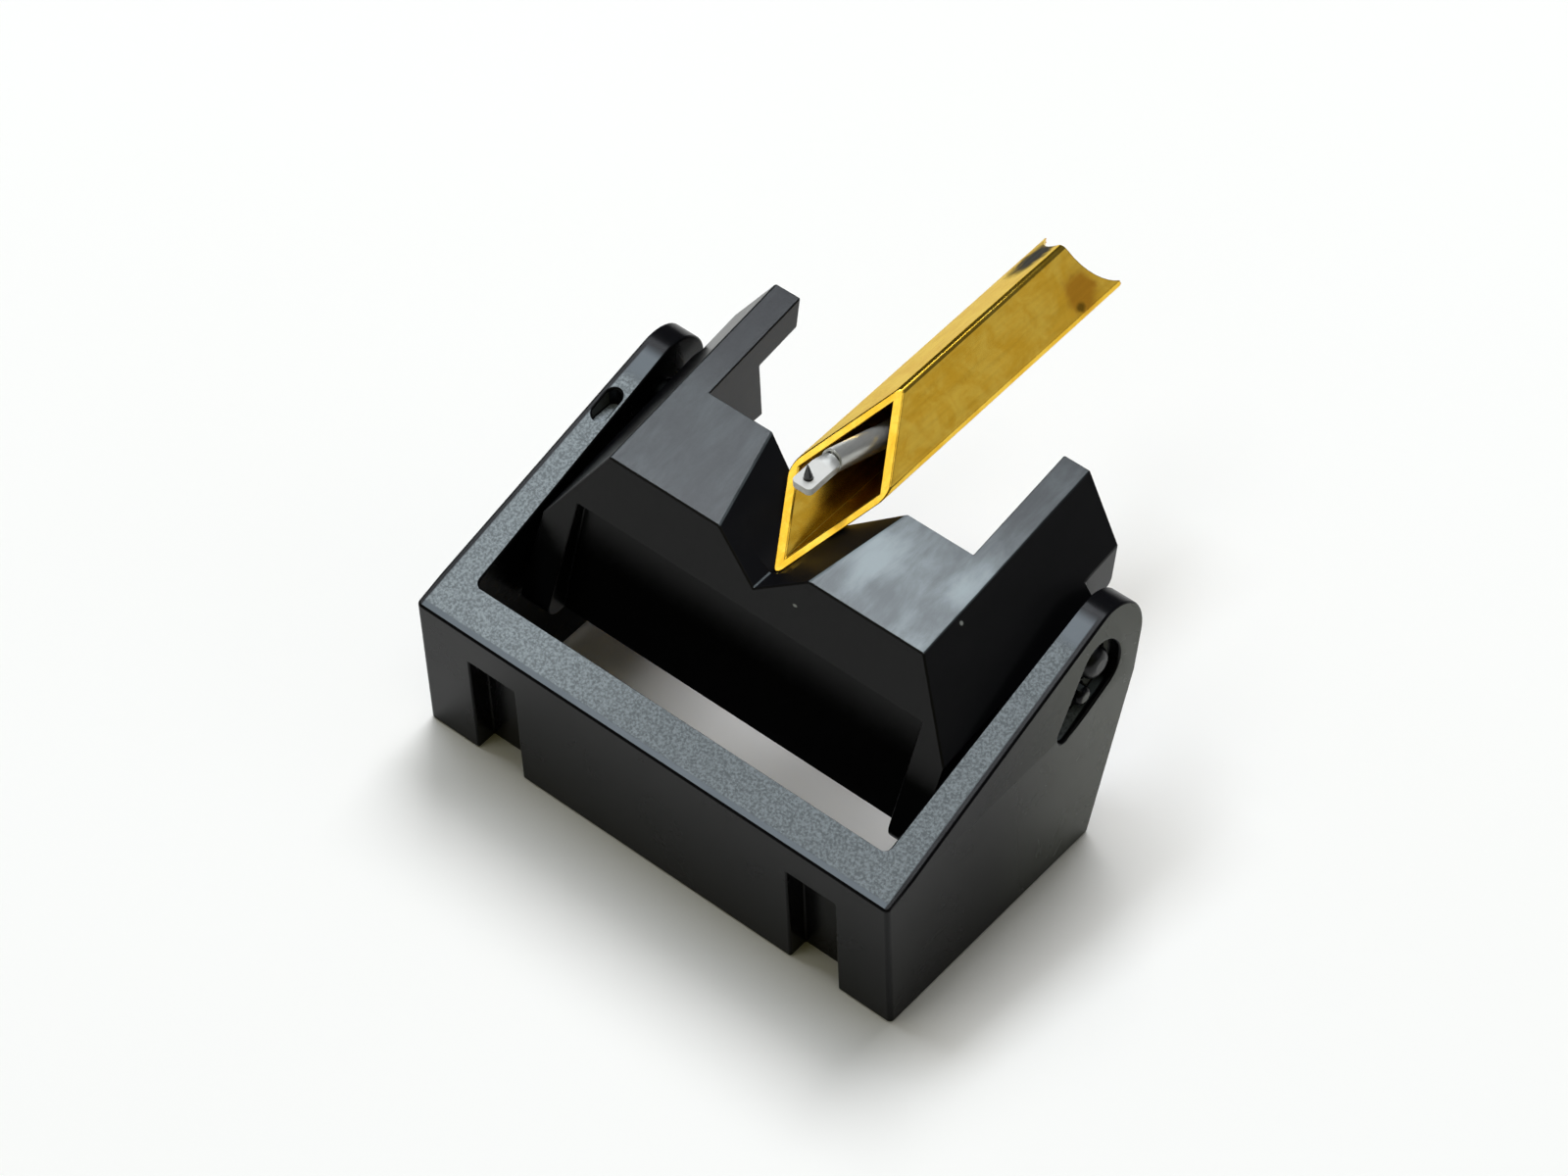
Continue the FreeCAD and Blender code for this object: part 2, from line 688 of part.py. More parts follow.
def tongue_section(sketch):
    half = "Size.tongue_width / 2"
    top = "Size.tongue_top - Size.shank_height"
    bottom = f"{top} - Size.tongue_thick"
    outline(sketch, [(f"-{half}", bottom), (half, bottom), (half, top), (f"-{half}", top)])


def cantilever_tongue(body):
    """Flat tongue with rounded front corners and a hole for the tip."""
    section = new_sketch(body, "tongue", "XZ_Plane", "-Size.tongue_rear")
    tongue_section(section)
    extrude("Pad", section, "Size.tongue_rear - Size.tongue_front")

    def front_corner(edge, middle):
        upright = near(edge.Length, SIZES["tongue_thick"])
        return upright and near(middle.y, SIZES["tongue_front"])

    round_edges(body, "tongue_corners", "Size.tongue_round", front_corner)
    hole = new_sketch(body, "tip_hole", "XY_Plane")
    circle(hole, ("0", "Size.tip_y"), "Size.tip_radius + Size.tip_play")
    extrude("Pocket", hole, "2 * Size.tongue_top", both=True)


def make_tip(doc):
    """Pointed tip that stands on the tongue, modelled about its own upright axis."""
    body = new_body(doc, "diamond_tip", "Size.tongue_top")
    body.setExpression("Placement.Base.y", "Size.tip_y - Size.shank_end / 2")
    sketch = new_sketch(body, "tip_half", "XZ_Plane")
    outline(sketch, [
        ("0", "-Size.tongue_thick"),
        ("Size.tip_radius", "-Size.tongue_thick"),
        ("Size.tip_radius", "Size.tip_collar"),
        ("Size.tip_point", "Size.tip_height"),
        ("0", "Size.tip_height"),
    ])
    doc.recompute()
    tip = body.newObject("PartDesign::Revolution", "tip_turned")
    tip.Profile = sketch
    tip.ReferenceAxis = (sketch, ["V_Axis"])
    tip.Angle = 360
    doc.recompute()
    return body


def make_bearing(doc):
    """Elastomer block around the cantilever, inside the tube."""
    body = new_body(doc, "suspension_bearing", "Size.shank_height")
    block = new_sketch(body, "bearing_block", "XZ_Plane", "-Size.bearing_y")
    diamond(block, f"({BORE_SIDE} - 2 * Size.bearing_play)")
    circle(block, ("0", "0"), "Size.beam_radius + Size.bearing_bore_play")
    extrude("Pad", block, "Size.bearing_length", back=True)
    return body


def make_magnet(doc):
    """Rod magnet with a socket for the rear end of the cantilever."""
    body = new_body(doc, "magnet", "Size.shank_height")
    rod = new_sketch(body, "magnet_rod", "XZ_Plane", "-Size.magnet_y")
    circle(rod, ("0", "0"), "Size.magnet_radius")
    extrude("Pad", rod, "Size.magnet_length", back=True)
    socket = new_sketch(body, "magnet_socket", "XZ_Plane", "-Size.magnet_y")
    circle(socket, ("0", "0"), "Size.beam_radius + Size.magnet_play")
    extrude("Pocket", socket, "Size.magnet_socket")
    return body


def make_wire(doc):
    """Stay wire from just behind the magnet into the plug."""
    body = new_body(doc, "tie_wire", "Size.shank_height")
    start = "-(Size.magnet_y + Size.magnet_length + Size.wire_gap)"
    section = new_sketch(body, "wire_section", "XZ_Plane", start)
    circle(section, ("0", "0"), "Size.wire_radius")
    extrude("Pad", section, "Size.wire_length", back=True)
    return body


def make_plug(doc):
    """Plug that anchors the stay wire near the rear end of the tube."""
    body = new_body(doc, "anchor_plug", "Size.shank_height")
    block = new_sketch(body, "plug_block", "XZ_Plane", "-Size.plug_y")
    diamond(block, f"({BORE_SIDE} - 2 * Size.plug_play)")
    circle(block, ("0", "0"), "Size.wire_radius + Size.wire_play")
    extrude("Pad", block, "Size.plug_length", back=True)
    return body


def check(doc, bodies):
    for item in doc.Objects:
        if "Invalid" in item.State or "Error" in item.State:
            raise RuntimeError(f"{item.Name}: {item.State}")
    for body in bodies:
        shape = body.Shape
        if shape.isNull() or not shape.isValid() or len(shape.Solids) != 1:
            raise RuntimeError(f"{body.Label} is not one valid solid")


def main():
    doc = FreeCAD.newDocument("turntable_stylus")
    make_sheet(doc)
    makers = (make_guard, make_grip, make_shank, make_cantilever, make_tip,
              make_bearing, make_magnet, make_wire, make_plug)
    bodies = [maker(doc) for maker in makers]
    doc.recompute()
    check(doc, bodies)
    os.makedirs("parts", exist_ok=True)
    for body in bodies:
        body.Shape.exportStep(f"parts/{body.Label}.step")


main()
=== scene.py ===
import math

import bpy
from mathutils import Matrix, Vector


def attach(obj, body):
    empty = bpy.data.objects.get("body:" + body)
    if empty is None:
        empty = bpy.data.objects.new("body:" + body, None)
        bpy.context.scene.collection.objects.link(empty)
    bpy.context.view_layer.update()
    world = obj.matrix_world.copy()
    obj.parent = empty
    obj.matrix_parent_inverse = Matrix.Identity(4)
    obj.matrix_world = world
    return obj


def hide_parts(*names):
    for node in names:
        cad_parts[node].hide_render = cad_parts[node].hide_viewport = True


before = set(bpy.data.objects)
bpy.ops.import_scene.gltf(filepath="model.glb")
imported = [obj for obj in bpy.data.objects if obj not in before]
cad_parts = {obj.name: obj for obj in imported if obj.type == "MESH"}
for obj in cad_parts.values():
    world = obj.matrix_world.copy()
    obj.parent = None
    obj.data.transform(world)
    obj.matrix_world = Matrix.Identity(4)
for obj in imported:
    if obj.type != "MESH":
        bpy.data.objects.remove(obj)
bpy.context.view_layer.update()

MM = 0.001

# The photograph's camera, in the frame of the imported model: metres and degrees, lens and sensor in mm
CAMERA_PLACE = (0.061483, -0.070068, 0.111711)
CAMERA_AZIMUTH = 42.77
CAMERA_ELEVATION = 49.278
CAMERA_ROLL = -2.854
CAMERA_LENS = 117.0
SENSOR_WIDTH = 36.0
NEAREST = 0.005
FARTHEST = 20.0

# Soft area lamps: name, place and size in metres, watts, colour, and whether the object mirrors them
LAMPS = (
    ("softbox_overhead_left", (-0.50, 0.085, 1.09), (0.46, 0.28), 4.2, "#f2f7ff", True),
    ("fill_behind", (-0.26, 0.60, 1.00), (0.62, 0.62), 11.5, "#fbfcff", False),
    ("card_behind_right", (0.91, 0.57, 0.53), (0.5, 0.5), 0.39, "#ffffff", True),
    ("card_front_left", (-0.30, -0.42, 1.07), (0.42, 0.42), 0.8, "#ffffff", True),
    ("card_overhead_right", (0.38, -0.02, 1.14), (0.36, 0.36), 0.45, "#ffffff", True),
)
LAMP_AIM = (0, 0, 0.005)
FLOOR_SIZE = 6.0

# How far the sharp edges of each piece are eased, in mm, and how that is done
GRIP_EASE = 0.05
GUARD_EASE = 0.07
TUBE_EASE = 0.04
BEAM_EASE = 0.02
EASE_STEPS = 3
MERGE_MM = 0.001
FLAT_ANGLE = math.radians(0.5)
SHARP_ANGLE = math.radians(28)
SMOOTH_ANGLE = math.radians(40)

# The outer faces of the guard's arms lean inwards by this angle
ARM_LEAN = math.radians(6.0)

# Two places on the grip's right roof where the haze is painted paler, as painted highlights: centre and reach
# in mm
PAINTED_HIGHLIGHT_SPOTS = (
    ((2.6, -2.7, 8.87), (1.4, 1.1, 1.0)),
    ((5.2, -2.0, 8.98), (0.6, 1.4, 1.0)),
)

# Two small pale nicks in the grip's edges: centre and reach in mm
NICKS = (
    ((1.40, -4.72, 7.84), (0.09, 0.05, 0.05)),
    ((5.70, -2.92, 8.66), (0.07, 0.07, 0.09)),
)

# Marks on the tube, with centre and reach in mm, and colour: a brown stain, its dark centre, which is stain
# and painted shade of a small dimple, and a dull film at the end of the other face
TUBE_MARKS = (
    ((1.00, 8.05, 9.25), (0.70, 0.70, 0.70), "#c48c29"),
    # The dark centre is partly stain and partly painted shade of a small dimple
    ((1.20, 7.80, 9.06), (0.17, 0.20, 0.18), "#7e5e1a"),
    ((-0.80, 8.20, 9.50), (0.80, 1.05, 0.80), "#15130a"),
)

# Settings that many nodes share, and the sockets of a Mix node, which repeat their names
SOFT_STEP = {"interpolation_type": "SMOOTHSTEP"}
TIMES = {"operation": "MULTIPLY"}
TIMES_PLUS = {"operation": "MULTIPLY_ADD"}
COLOURS = {"data_type": "RGBA"}
COLOUR_A = 6
COLOUR_B = 7
COLOUR_OUT = 2
NUMBER_A = 2
NUMBER_B = 3
NUMBER_OUT = 0


def linear(hex_colour):
    """An sRGB hex colour as linear RGBA."""
    parts = [int(hex_colour[i:i + 2], 16) / 255 for i in (1, 3, 5)]
    return [p / 12.92 if p <= 0.04045 else ((p + 0.055) / 1.055) ** 2.4 for p in parts] + [1.0]


def per_metre(size_mm):
    """Pattern scale for a feature of this size on Object coordinates, which are in metres."""
    return 1000.0 / size_mm


def add_node(tree, kind, settings=None, inputs=None):
    """Adds one node, sets its own properties, and fills or links its sockets."""
    node = tree.nodes.new(kind)
    for name, value in (settings or {}).items():
        setattr(node, name, value)
    for name, value in (inputs or {}).items():
        if isinstance(value, bpy.types.NodeSocket):
            tree.links.new(value, node.inputs[name])
        else:
            node.inputs[name].default_value = value
    return node


def new_material(name):
    """An empty node material with its output, and the tree to fill."""
    material = bpy.data.materials.new(name)
    material.use_nodes = True
    material.node_tree.nodes.clear()
    output = add_node(material.node_tree, "ShaderNodeOutputMaterial")
    return material, material.node_tree, output


def spot_reach(tree, place, middle, size):
    """Distance from the middle of a spot, which is 1 at its rim; middle and size are in mm."""
    around = add_node(tree, "ShaderNodeMapping", {"vector_type": "TEXTURE"}, {
        "Vector": place, "Location": [v * MM for v in middle], "Scale": [v * MM for v in size]})
    reach = add_node(tree, "ShaderNodeVectorMath", {"operation": "LENGTH"}, {0: around.outputs["Vector"]})
    return reach.outputs["Value"]


def select_only(piece):
    """Leaves this piece as the one thing selected."""
    bpy.ops.object.select_all(action="DESELECT")
    piece.select_set(True)
    bpy.context.view_layer.objects.active = piece


def make_grip_plastic():
    """Black ABS from a polished tool.

    It gives dark satin sides, and flat tops hazed in soft diagonal smears, which are partly handling haze and
    partly painted reflection, brightest on the right half.
    """
    material, tree, output = new_material("abs_black_moulded_satin")
    where = add_node(tree, "ShaderNodeTexCoord")
    place = where.outputs["Object"]
    facing = add_node(tree, "ShaderNodeSeparateXYZ", None, {"Vector": where.outputs["Normal"]})
    upward = add_node(tree, "ShaderNodeMapRange", SOFT_STEP, {
        "Value": facing.outputs["Z"], "From Min": 0.86, "From Max": 0.96})
    # The haze lies in patches of a few millimetres, wiped into narrower streaks that run diagonally
    patch = add_node(tree, "ShaderNodeTexNoise", None, {
        "Vector": place, "Scale": per_metre(2.6), "Detail": 3.0, "Roughness": 0.55, "Distortion": 0.5})
    wiped = add_node(tree, "ShaderNodeMapping", None, {
        "Vector": place, "Rotation": (0.0, 0.0, 0.45), "Scale": (2.2, 0.7, 1.0)})
    streak = add_node(tree, "ShaderNodeTexNoise", None, {
        "Vector": wiped.outputs["Vector"], "Scale": per_metre(1.5), "Detail": 6.0, "Roughness": 0.66,
        "Distortion": 0.35})
    # The grain of a polished tool is about 0.03 mm; it is drawn at 0.09 mm so that it shows
    grain = add_node(tree, "ShaderNodeTexNoise", None, {
        "Vector": place, "Scale": per_metre(0.09), "Detail": 2.0, "Roughness": 0.5})
    veil = add_node(tree, "ShaderNodeMath", TIMES_PLUS, {
        0: patch.outputs["Fac"], 1: 0.8, 2: streak.outputs["Fac"]})
    # Painted highlights: the haze grows paler around two spots on the right roof
    for middle, size in PAINTED_HIGHLIGHT_SPOTS:
        glow = add_node(tree, "ShaderNodeMapRange", SOFT_STEP, {
            "Value": spot_reach(tree, place, middle, size),
            "From Min": 0.1, "From Max": 1.1, "To Min": 0.3, "To Max": 0.0})
        veil = add_node(tree, "ShaderNodeMath", {"operation": "ADD"}, {
            0: veil.outputs["Value"], 1: glow.outputs["Result"]})
    smear = add_node(tree, "ShaderNodeMapRange", SOFT_STEP, {
        "Value": veil.outputs["Value"], "From Min": 0.70, "From Max": 1.34, "To Min": 0.35, "To Max": 1.0})
    # The haze is painted stronger on the right half, as painted reflection of the light there, and it fades
    # towards the rails
    spot = add_node(tree, "ShaderNodeSeparateXYZ", None, {"Vector": place})
    painted_reflection_right = add_node(tree, "ShaderNodeMapRange", SOFT_STEP, {
        "Value": spot.outputs["X"], "From Min": -2.0 * MM, "From Max": 2.5 * MM,
        "To Min": 0.28, "To Max": 1.0})
    fading = add_node(tree, "ShaderNodeMapRange", SOFT_STEP, {
        "Value": spot.outputs["Y"], "From Min": -2.2 * MM, "From Max": 0.8 * MM,
        "To Min": 1.0, "To Max": 0.3})
    reached = add_node(tree, "ShaderNodeMath", TIMES, {
        0: painted_reflection_right.outputs["Result"], 1: fading.outputs["Result"]})
    haze_extent = add_node(tree, "ShaderNodeMath", TIMES, {
        0: reached.outputs["Value"], 1: upward.outputs["Result"]})
    haze_and_reflection = add_node(tree, "ShaderNodeMath", TIMES, {
        0: smear.outputs["Result"], 1: haze_extent.outputs["Value"]})
    tone = add_node(tree, "ShaderNodeMix", COLOURS, {
        "Factor": smear.outputs["Result"], COLOUR_A: linear("#08080a"), COLOUR_B: linear("#0e0e10")})
    # The pale bluish haze colour is partly handling haze and partly a painted reflection of the light
    colour = add_node(tree, "ShaderNodeMix", COLOURS, {
        "Factor": haze_and_reflection.outputs["Value"], COLOUR_A: tone.outputs[COLOUR_OUT], COLOUR_B: linear("#98a4a9")})
    for middle, size in NICKS:
        nick = add_node(tree, "ShaderNodeMapRange", SOFT_STEP, {
            "Value": spot_reach(tree, place, middle, size),
            "From Min": 0.4, "From Max": 1.1, "To Min": 1.0, "To Max": 0.0})
        colour = add_node(tree, "ShaderNodeMix", COLOURS, {
            "Factor": nick.outputs["Result"], COLOUR_A: colour.outputs[COLOUR_OUT],
            COLOUR_B: linear("#8f938f")})
    polish = add_node(tree, "ShaderNodeMapRange", None, {
        "Value": upward.outputs["Result"], "To Min": 0.28, "To Max": 0.20})
    roughness = add_node(tree, "ShaderNodeMath", TIMES_PLUS, {
        0: smear.outputs["Result"], 1: 0.06, 2: polish.outputs["Result"]})
    height = add_node(tree, "ShaderNodeMath", TIMES_PLUS, {
        0: streak.outputs["Fac"], 1: 3.0, 2: grain.outputs["Fac"]})
    bump = add_node(tree, "ShaderNodeBump", None, {
        "Strength": 0.3, "Distance": 0.004 * MM, "Height": height.outputs["Value"]})
    shader = add_node(tree, "ShaderNodeBsdfPrincipled", None, {
        "Base Color": colour.outputs[COLOUR_OUT], "Roughness": roughness.outputs["Value"], "IOR": 1.53,
        "Specular IOR Level": 0.24, "Normal": bump.outputs["Normal"]})
    tree.links.new(shader.outputs["BSDF"], output.inputs["Surface"])
    return material


def make_guard_plastic():
    """Black ABS whose tool was spark eroded on the top faces.

    It gives a pale fine speckle there, painted paler towards the left end, and satin black elsewhere, with a
    painted sheen on the outer sides and a painted highlight on the smooth patch before the round ends.
    """
    material, tree, output = new_material("abs_black_spark_textured")
    where = add_node(tree, "ShaderNodeTexCoord")
    place = where.outputs["Object"]
    facing = add_node(tree, "ShaderNodeSeparateXYZ", None, {"Vector": where.outputs["Normal"]})
    upward = add_node(tree, "ShaderNodeMapRange", SOFT_STEP, {
        "Value": facing.outputs["Z"], "From Min": 0.90, "From Max": 0.945})
    # The texture stops short of the outer edges, and a smooth patch follows it before the round ends, painted
    # paler as a painted highlight
    spot = add_node(tree, "ShaderNodeSeparateXYZ", None, {"Vector": place})
    behind = add_node(tree, "ShaderNodeMapRange", SOFT_STEP, {
        "Value": spot.outputs["Y"], "From Min": -9.24 * MM, "From Max": -9.18 * MM})
    forward = add_node(tree, "ShaderNodeMapRange", SOFT_STEP, {
        "Value": spot.outputs["Y"], "From Min": -1.3 * MM, "From Max": -0.8 * MM,
        "To Min": 1.0, "To Max": 0.0})
    ended = add_node(tree, "ShaderNodeMapRange", SOFT_STEP, {
        "Value": spot.outputs["Y"], "From Min": -0.35 * MM, "From Max": 0.05 * MM,
        "To Min": 1.0, "To Max": 0.0})
    breadth = add_node(tree, "ShaderNodeMath", {"operation": "ABSOLUTE"}, {0: spot.outputs["X"]})
    leaned = add_node(tree, "ShaderNodeMath", TIMES_PLUS, {
        0: spot.outputs["Z"], 1: math.tan(ARM_LEAN), 2: breadth.outputs["Value"]})
    within = add_node(tree, "ShaderNodeMapRange", SOFT_STEP, {
        "Value": leaned.outputs["Value"], "From Min": 8.83 * MM, "From Max": 8.89 * MM,
        "To Min": 1.0, "To Max": 0.0})
    length = add_node(tree, "ShaderNodeMath", TIMES, {
        0: behind.outputs["Result"], 1: forward.outputs["Result"]})
    inside = add_node(tree, "ShaderNodeMath", TIMES, {
        0: length.outputs["Value"], 1: within.outputs["Result"]})
    etched = add_node(tree, "ShaderNodeMath", TIMES, {
        0: upward.outputs["Result"], 1: inside.outputs["Value"]})
    bordered = add_node(tree, "ShaderNodeMath", TIMES, {
        0: ended.outputs["Result"], 1: within.outputs["Result"]})
    painted_highlight_patch = add_node(tree, "ShaderNodeMath", TIMES, {
        0: upward.outputs["Result"], 1: bordered.outputs["Value"]})
    # Spark craters are about 0.03 mm; they are drawn at 0.08 mm so that they show
    crater = add_node(tree, "ShaderNodeTexNoise", None, {
        "Vector": place, "Scale": per_metre(0.08), "Detail": 2.5, "Roughness": 0.6})
    speckle = add_node(tree, "ShaderNodeMapRange", SOFT_STEP, {
        "Value": crater.outputs["Fac"], "From Min": 0.34, "From Max": 0.68, "To Min": 0.5, "To Max": 1.0})
    # Painted light: the speckle is painted paler towards the left end, where the light falls more strongly
    paler = add_node(tree, "ShaderNodeMapRange", SOFT_STEP, {
        "Value": spot.outputs["X"], "From Min": -6.0 * MM, "From Max": 1.0 * MM,
        "To Min": 1.0, "To Max": 0.72})
    toned = add_node(tree, "ShaderNodeMath", TIMES, {
        0: speckle.outputs["Result"], 1: paler.outputs["Result"]})
    lit = add_node(tree, "ShaderNodeMath", TIMES, {
        0: toned.outputs["Value"], 1: etched.outputs["Value"]})
    # A grey painted sheen on the outer sides, strongest by the ears, stands for the reflection of the bright
    # table beside them
    sheen_rearwards = add_node(tree, "ShaderNodeMapRange", SOFT_STEP, {
        "Value": spot.outputs["Y"], "From Min": -6.0 * MM, "From Max": 0.0})
    outer = add_node(tree, "ShaderNodeMapRange", SOFT_STEP, {
        "Value": leaned.outputs["Value"], "From Min": 8.3 * MM, "From Max": 8.6 * MM})
    sideways = add_node(tree, "ShaderNodeMath", {"operation": "ABSOLUTE"}, {0: facing.outputs["X"]})
    side = add_node(tree, "ShaderNodeMapRange", SOFT_STEP, {
        "Value": sideways.outputs["Value"], "From Min": 0.9, "From Max": 0.97})
    sheen_reach = add_node(tree, "ShaderNodeMath", TIMES, {
        0: sheen_rearwards.outputs["Result"], 1: outer.outputs["Result"]})
    greying = add_node(tree, "ShaderNodeMath", TIMES, {
        0: sheen_reach.outputs["Value"], 1: side.outputs["Result"]})
    # The grey mixed in here is painted sheen, not the plastic's own colour
    sides = add_node(tree, "ShaderNodeMix", COLOURS, {
        "Factor": greying.outputs["Value"], COLOUR_A: linear("#0a0a0c"), COLOUR_B: linear("#565852")})
    # The smooth patch gets a painted highlight: a pale grey in place of the lamp's glint
    with_painted_highlight = add_node(tree, "ShaderNodeMix", COLOURS, {
        "Factor": painted_highlight_patch.outputs["Value"], COLOUR_A: sides.outputs[COLOUR_OUT], COLOUR_B: linear("#666f76")})
    sunken = add_node(tree, "ShaderNodeMix", COLOURS, {
        "Factor": etched.outputs["Value"], COLOUR_A: with_painted_highlight.outputs[COLOUR_OUT],
        COLOUR_B: linear("#0a0a0c")})
    colour = add_node(tree, "ShaderNodeMix", COLOURS, {
        "Factor": lit.outputs["Value"], COLOUR_A: sunken.outputs[COLOUR_OUT], COLOUR_B: linear("#9da7ac")})
    # The gloss of the smooth faces changes slowly, as the plastic flowed
    flow = add_node(tree, "ShaderNodeTexNoise", None, {
        "Vector": place, "Scale": per_metre(2.4), "Detail": 4.0, "Roughness": 0.6, "Distortion": 0.8})
    satin = add_node(tree, "ShaderNodeMapRange", None, {
        "Value": flow.outputs["Fac"], "From Min": 0.3, "From Max": 0.7, "To Min": 0.20, "To Max": 0.30})
    roughness = add_node(tree, "ShaderNodeMix", {"data_type": "FLOAT"}, {
        "Factor": etched.outputs["Value"], NUMBER_A: satin.outputs["Result"], NUMBER_B: 0.45})
    strength = add_node(tree, "ShaderNodeMapRange", None, {
        "Value": etched.outputs["Value"], "To Min": 0.05, "To Max": 0.6})
    bump = add_node(tree, "ShaderNodeBump", None, {
        "Strength": strength.outputs["Result"], "Distance": 0.03 * MM, "Height": crater.outputs["Fac"]})
    shader = add_node(tree, "ShaderNodeBsdfPrincipled", None, {
        "Base Color": colour.outputs[COLOUR_OUT], "Roughness": roughness.outputs[NUMBER_OUT], "IOR": 1.53,
        "Specular IOR Level": 0.11, "Normal": bump.outputs["Normal"]})
    tree.links.new(shader.outputs["BSDF"], output.inputs["Surface"])
    return material


def make_gold_plate():
    """Gold plate on drawn brass.

    It gives a warm mirror with draw lines along the tube, softly mottled, and stained near the rear end.
    """
    material, tree, output = new_material("gold_plate_on_drawn_brass")
    place = add_node(tree, "ShaderNodeTexCoord").outputs["Object"]
    along = add_node(tree, "ShaderNodeMapping", None, {"Vector": place, "Scale": (1.0, 0.06, 1.0)})
    # Draw lines are about 0.02 mm apart; they are drawn at 0.12 mm so that they show
    lines = add_node(tree, "ShaderNodeTexNoise", None, {
        "Vector": along.outputs["Vector"], "Scale": per_metre(0.12), "Detail": 3.0, "Roughness": 0.6})
    cloud = add_node(tree, "ShaderNodeTexNoise", None, {
        "Vector": place, "Scale": per_metre(0.8), "Detail": 5.0, "Roughness": 0.65, "Distortion": 0.6})
    mottle = add_node(tree, "ShaderNodeMapRange", SOFT_STEP, {
        "Value": cloud.outputs["Fac"], "From Min": 0.35, "From Max": 0.65})
    colour = add_node(tree, "ShaderNodeMix", COLOURS, {
        "Factor": mottle.outputs["Result"], COLOUR_A: linear("#e6b436"), COLOUR_B: linear("#f2c84e")})
    for middle, size, shade in TUBE_MARKS:
        ragged = add_node(tree, "ShaderNodeMath", TIMES_PLUS, {
            0: cloud.outputs["Fac"], 1: -1.5, 2: spot_reach(tree, place, middle, size)})
        stain = add_node(tree, "ShaderNodeMapRange", SOFT_STEP, {
            "Value": ragged.outputs["Value"], "From Min": -0.3, "From Max": 0.4,
            "To Min": 1.0, "To Max": 0.0})
        colour = add_node(tree, "ShaderNodeMix", COLOURS, {
            "Factor": stain.outputs["Result"], COLOUR_A: colour.outputs[COLOUR_OUT], COLOUR_B: linear(shade)})
    drawn = add_node(tree, "ShaderNodeMapRange", None, {
        "Value": lines.outputs["Fac"], "From Min": 0.3, "From Max": 0.7, "To Min": 0.16, "To Max": 0.26})
    # The last mark is a dull film; it hides the metal only where it is dark, so that no pale ring shows
    film = stain.outputs["Result"]
    roughness = add_node(tree, "ShaderNodeMath", TIMES_PLUS, {0: film, 1: 0.4, 2: drawn.outputs["Result"]})
    bare = add_node(tree, "ShaderNodeMapRange", None, {
        "Value": film, "From Min": 0.6, "From Max": 1.0, "To Min": 1.0, "To Max": 0.1})
    bump = add_node(tree, "ShaderNodeBump", None, {
        "Strength": 0.06, "Distance": 0.01 * MM, "Height": lines.outputs["Fac"]})
    shader = add_node(tree, "ShaderNodeBsdfPrincipled", None, {
        "Base Color": colour.outputs[COLOUR_OUT], "Metallic": bare.outputs["Result"],
        "Roughness": roughness.outputs["Value"], "Specular IOR Level": 0.15,
        "Specular Tint": linear("#f0e9bc"), "Normal": bump.outputs["Normal"]})
    tree.links.new(shader.outputs["BSDF"], output.inputs["Surface"])
    return material


def make_beam_aluminium():
    """Drawn aluminium.

    It gives a grey satin tube with fine draw lines, paler and duller where its end was pressed flat.
    """
    material, tree, output = new_material("aluminium_drawn_bare")
    place = add_node(tree, "ShaderNodeTexCoord").outputs["Object"]
    along = add_node(tree, "ShaderNodeMapping", None, {"Vector": place, "Scale": (1.0, 0.1, 1.0)})
    # Draw lines are about 0.02 mm apart; they are drawn at 0.06 mm so that they show
    lines = add_node(tree, "ShaderNodeTexNoise", None, {
        "Vector": along.outputs["Vector"], "Scale": per_metre(0.06), "Detail": 3.0, "Roughness": 0.6})
    spot = add_node(tree, "ShaderNodeSeparateXYZ", None, {"Vector": place})
    pressed = add_node(tree, "ShaderNodeMapRange", SOFT_STEP, {
        "Value": spot.outputs["Y"], "From Min": -1.9 * MM, "From Max": -1.5 * MM,
        "To Min": 1.0, "To Max": 0.0})
    drawn = add_node(tree, "ShaderNodeMix", COLOURS, {
        "Factor": lines.outputs["Fac"], COLOUR_A: linear("#c0c1bd"), COLOUR_B: linear("#d8d9d4")})
    # The near white of the pressed end is a painted highlight
    colour = add_node(tree, "ShaderNodeMix", COLOURS, {
        "Factor": pressed.outputs["Result"], COLOUR_A: drawn.outputs[COLOUR_OUT],
        COLOUR_B: linear("#eeeeea")})
    satin = add_node(tree, "ShaderNodeMapRange", None, {
        "Value": lines.outputs["Fac"], "From Min": 0.3, "From Max": 0.7, "To Min": 0.28, "To Max": 0.38})
    roughness = add_node(tree, "ShaderNodeMath", TIMES_PLUS, {
        0: pressed.outputs["Result"], 1: 0.25, 2: satin.outputs["Result"]})
    # Oxide dulls the whole tube a little, and the pressed end is painted near white and made less metallic,
    # as a painted highlight of its flat face
    bare = add_node(tree, "ShaderNodeMapRange", None, {
        "Value": pressed.outputs["Result"], "To Min": 0.75, "To Max": 0.45})
    bump = add_node(tree, "ShaderNodeBump", None, {
        "Strength": 0.1, "Distance": 0.005 * MM, "Height": lines.outputs["Fac"]})
    shader = add_node(tree, "ShaderNodeBsdfPrincipled", None, {
        "Base Color": colour.outputs[COLOUR_OUT], "Metallic": bare.outputs["Result"],
        "Roughness": roughness.outputs["Value"], "Normal": bump.outputs["Normal"]})
    tree.links.new(shader.outputs["BSDF"], output.inputs["Surface"])
    return material


